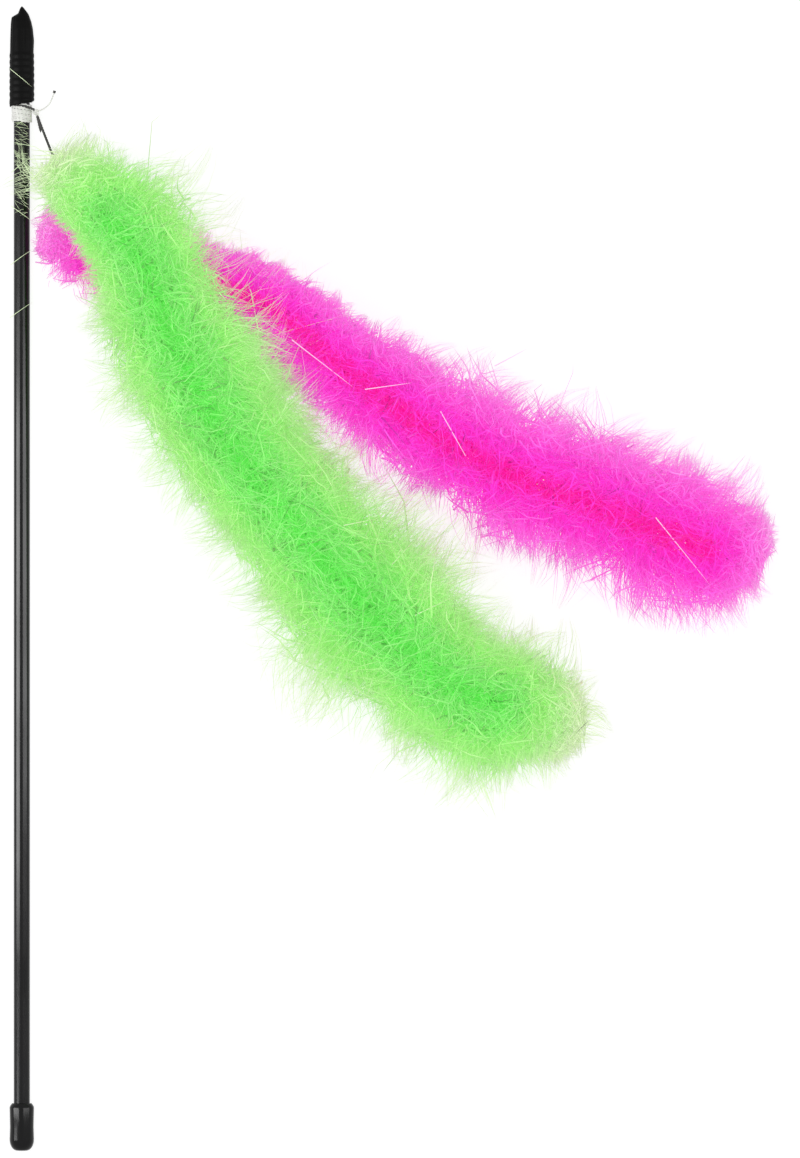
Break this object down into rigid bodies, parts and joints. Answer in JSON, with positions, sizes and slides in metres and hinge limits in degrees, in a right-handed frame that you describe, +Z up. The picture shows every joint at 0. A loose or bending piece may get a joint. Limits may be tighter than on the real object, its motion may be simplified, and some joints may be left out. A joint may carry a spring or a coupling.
{
  "type": "cat teaser wand",
  "caption": "Cat teaser wand: a slim black rod with a vinyl end cap and a shrunk tip sleeve, trailing a green and a pink feather boa on strings lashed to the tip",
  "frame": {"origin": "centre of the flat outer face of the handle cap's closed end, on the rod's axis", "axes": "+Y along the rod from the handle cap to the tip, +Z up with the wand lying on a floor, +X to the side where the boas trail"},
  "size_m": [0.2746, 0.4265, 0.0411],
  "materials": {
    "rod_plastic": "glossy black extruded plastic",
    "cap_vinyl": "satin black dipped vinyl",
    "sleeve_plastic": "satin black shrink tube with creases",
    "black_string": "twisted black cotton string",
    "white_thread": "white tie thread",
    "green_feather": "dyed marabou down, bright green with pale tips",
    "green_cord": "twisted cotton core cord",
    "pink_feather": "dyed marabou down, hot pink with pale tips",
    "pink_cord": "twisted cotton core cord"
  },
  "bodies": {
    "wand": {"wand_rod": "rod_plastic", "handle_cap": "cap_vinyl", "tip_sleeve": "sleeve_plastic", "string_lashing": "black_string", "tie_thread": "white_thread", "tie_knot": "white_thread", "thread_tail": "white_thread"},
    "green_string": {"green_string": "black_string"},
    "green_link_1": {"green_plume_1": "green_feather", "green_core_1": "green_cord", "green_start_knot": "green_cord"},
    "green_link_2": {"green_plume_2": "green_feather", "green_core_2": "green_cord"},
    "green_link_3": {"green_plume_3": "green_feather", "green_core_3": "green_cord"},
    "green_link_4": {"green_plume_4": "green_feather", "green_core_4": "green_cord"},
    "green_link_5": {"green_plume_5": "green_feather", "green_core_5": "green_cord"},
    "green_link_6": {"green_plume_6": "green_feather", "green_core_6": "green_cord"},
    "green_link_7": {"green_plume_7": "green_feather", "green_core_7": "green_cord", "green_end_knot": "green_cord"},
    "pink_string": {"pink_string": "black_string"},
    "pink_link_1": {"pink_plume_1": "pink_feather", "pink_core_1": "pink_cord", "pink_start_knot": "pink_cord"},
    "pink_link_2": {"pink_plume_2": "pink_feather", "pink_core_2": "pink_cord"},
    "pink_link_3": {"pink_plume_3": "pink_feather", "pink_core_3": "pink_cord"},
    "pink_link_4": {"pink_plume_4": "pink_feather", "pink_core_4": "pink_cord"},
    "pink_link_5": {"pink_plume_5": "pink_feather", "pink_core_5": "pink_cord"},
    "pink_link_6": {"pink_plume_6": "pink_feather", "pink_core_6": "pink_cord", "pink_end_knot": "pink_cord"}
  },
  "joints": [
    {"name": "green_string_swing", "type": "hinge", "parent": "wand", "child": "green_string", "pos_m": [0.0054, 0.3868, 0.002], "axis": [0, 0, 1], "range_deg": [-14, 1]},
    {"name": "green_lift_1", "type": "hinge", "parent": "green_string", "child": "green_link_1", "pos_m": [0.0217, 0.3543, 0.02161], "axis": [-0.6874, -0.7263, 0], "range_deg": [0, 35]},
    {"name": "green_bend_2", "type": "hinge", "parent": "green_link_1", "child": "green_link_2", "pos_m": [0.0422, 0.3349, 0.02461], "axis": [0, 0, 1], "range_deg": [-6, 1]},
    {"name": "green_bend_3", "type": "hinge", "parent": "green_link_2", "child": "green_link_3", "pos_m": [0.056, 0.3036, 0.01861], "axis": [0, 0, 1], "range_deg": [-10, 4]},
    {"name": "green_lift_4", "type": "hinge", "parent": "green_link_3", "child": "green_link_4", "pos_m": [0.0739, 0.2693, 0.01231], "axis": [-0.7925, -0.6098, 0], "range_deg": [0, 28]},
    {"name": "green_bend_5", "type": "hinge", "parent": "green_link_4", "child": "green_link_5", "pos_m": [0.1026, 0.232, 0.01231], "axis": [0, 0, 1], "range_deg": [-20, 20]},
    {"name": "green_lift_6", "type": "hinge", "parent": "green_link_5", "child": "green_link_6", "pos_m": [0.1372, 0.194, 0.01231], "axis": [-0.6399, -0.7685, 0], "range_deg": [0, 35]},
    {"name": "green_bend_7", "type": "hinge", "parent": "green_link_6", "child": "green_link_7", "pos_m": [0.1641, 0.1716, 0.01231], "axis": [0, 0, 1], "range_deg": [-40, 15]},
    {"name": "pink_string_swing", "type": "hinge", "parent": "wand", "child": "pink_string", "pos_m": [0.0054, 0.3868, 0.002], "axis": [0, 0, 1], "range_deg": [-1, 24]},
    {"name": "pink_bend_1", "type": "hinge", "parent": "pink_string", "child": "pink_link_1", "pos_m": [0.0113, 0.3416, 0.00261], "axis": [0, 0, 1], "range_deg": [-1, 18]},
    {"name": "pink_bend_2", "type": "hinge", "parent": "pink_link_1", "child": "pink_link_2", "pos_m": [0.058, 0.33, 0.00261], "axis": [0, 0, 1], "range_deg": [-1, 25]},
    {"name": "pink_bend_3", "type": "hinge", "parent": "pink_link_2", "child": "pink_link_3", "pos_m": [0.092, 0.3175, 0.01231], "axis": [0, 0, 1], "range_deg": [-10, 30]},
    {"name": "pink_lift_4", "type": "hinge", "parent": "pink_link_3", "child": "pink_link_4", "pos_m": [0.126, 0.2909, 0.01231], "axis": [-0.5671, -0.8236, 0], "range_deg": [0, 35]},
    {"name": "pink_bend_5", "type": "hinge", "parent": "pink_link_4", "child": "pink_link_5", "pos_m": [0.1671, 0.2626, 0.01231], "axis": [0, 0, 1], "range_deg": [-30, 25]},
    {"name": "pink_lift_6", "type": "hinge", "parent": "pink_link_5", "child": "pink_link_6", "pos_m": [0.2118, 0.2443, 0.01231], "axis": [-0.3507, -0.9365, 0], "range_deg": [0, 35]}
  ]
}
